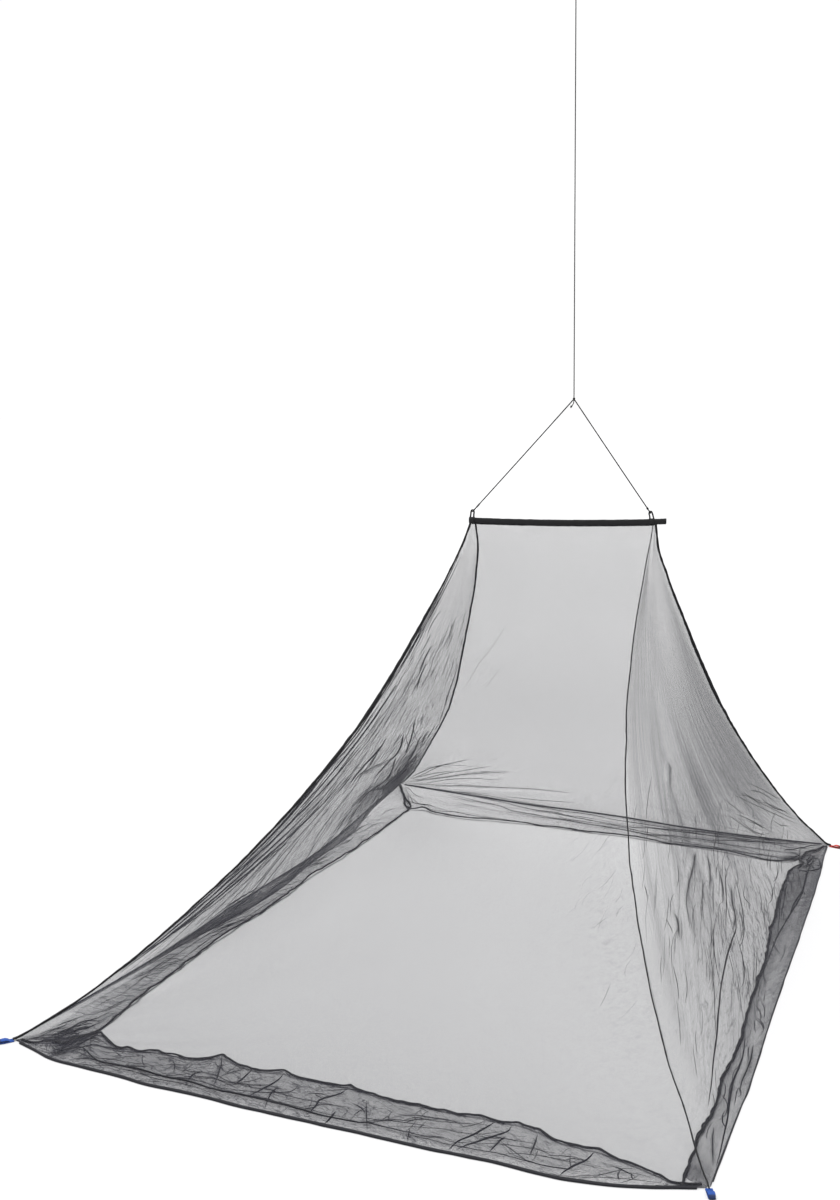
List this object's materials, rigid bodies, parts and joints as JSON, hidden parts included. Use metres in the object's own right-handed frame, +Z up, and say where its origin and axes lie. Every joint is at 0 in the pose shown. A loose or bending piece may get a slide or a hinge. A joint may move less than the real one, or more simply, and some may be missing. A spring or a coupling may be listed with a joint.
{
  "type": "mosquito net canopy with spreader bar and hanging cord",
  "caption": "Pyramid mosquito net of sheer dark mesh on a sleeved spreader bar with a bridle and hanging cord, hip seams, turned-in floor skirt and webbing corner loops.",
  "frame": {"origin": "on the floor under the middle of the net, its bar, loops and skirts included and its cords left out", "axes": "+X along the front edge towards the right, +Y from the front edge to the back edge, +Z up"},
  "size_m": [1.794, 2.5237, 2.7242],
  "materials": {
    "netting": "sheer knitted mesh, near black",
    "binding": "narrow woven binding, black",
    "sleeve": "matt woven sleeve, black",
    "rod": "dark pultruded rod, satin",
    "cord": "thin braided cord, black",
    "webbing_blue": "narrow woven webbing, blue",
    "webbing_red": "narrow woven webbing, red"
  },
  "bodies": {
    "root": {"apex_knot": "cord", "back_panel": "netting", "bar_sleeve": "sleeve", "bridle_cord_left": "cord", "bridle_cord_right": "cord", "bridle_knot_left": "cord", "bridle_knot_right": "cord", "cord_eye_left": "cord", "cord_eye_right": "cord", "cord_tail": "cord", "corner_loop_back_left": "webbing_red", "corner_loop_back_right": "webbing_red", "corner_loop_front_left": "webbing_blue", "corner_loop_front_right": "webbing_blue", "front_panel": "netting", "hang_loop_left": "binding", "hang_loop_right": "binding", "hanging_cord": "cord", "hip_binding_back_left": "binding", "hip_binding_back_right": "binding", "hip_binding_front_left": "binding", "hip_binding_front_right": "binding", "left_panel": "netting", "right_panel": "netting", "spreader_bar": "rod", "tail_knot": "cord", "top_knot": "cord", "top_loop": "cord"}
  },
  "joints": []
}
